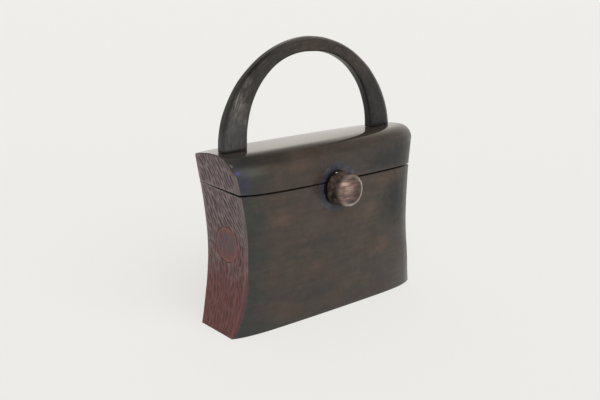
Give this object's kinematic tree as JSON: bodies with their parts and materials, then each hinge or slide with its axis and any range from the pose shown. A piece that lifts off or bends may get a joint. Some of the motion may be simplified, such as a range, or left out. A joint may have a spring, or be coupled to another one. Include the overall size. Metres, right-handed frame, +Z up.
{
  "type": "wooden handbag",
  "caption": "Small hollow wooden handbag with flared carved ends, a lid hinged at the back, an arched wooden handle standing on the lid and a turned knob at the front.",
  "frame": {"origin": "middle of the flat base, below the middle of the waist", "axes": "+X to the right along the front, +Y from the front to the back, +Z up"},
  "size_m": [0.2, 0.0861, 0.2246],
  "materials": {
    "body_wood": "dark stained and oiled, satin, brown where worn, with carved dark red ends",
    "handle_wood": "charcoal stained, satin, worn lighter on the legs",
    "knob_wood": "red brown end grain, worn pale at the rim",
    "plug_wood": "dark red dyed end grain, matt",
    "hinge_brass": "aged, satin"
  },
  "bodies": {
    "body": {"body_box": "body_wood", "knob": "knob_wood", "end_plug_left": "plug_wood", "end_plug_right": "plug_wood", "hinge_left_body_leaf": "hinge_brass", "hinge_left_pin": "hinge_brass", "hinge_right_body_leaf": "hinge_brass", "hinge_right_pin": "hinge_brass"},
    "lid": {"lid": "body_wood", "handle": "handle_wood", "hinge_left_lid_leaf": "hinge_brass", "hinge_right_lid_leaf": "hinge_brass"}
  },
  "joints": [
    {"name": "lid_hinge", "type": "hinge", "parent": "body", "child": "lid", "pos_m": [0, 0.0354, 0.1146], "axis": [-1, 0, 0], "range_deg": [0, 100]}
  ]
}
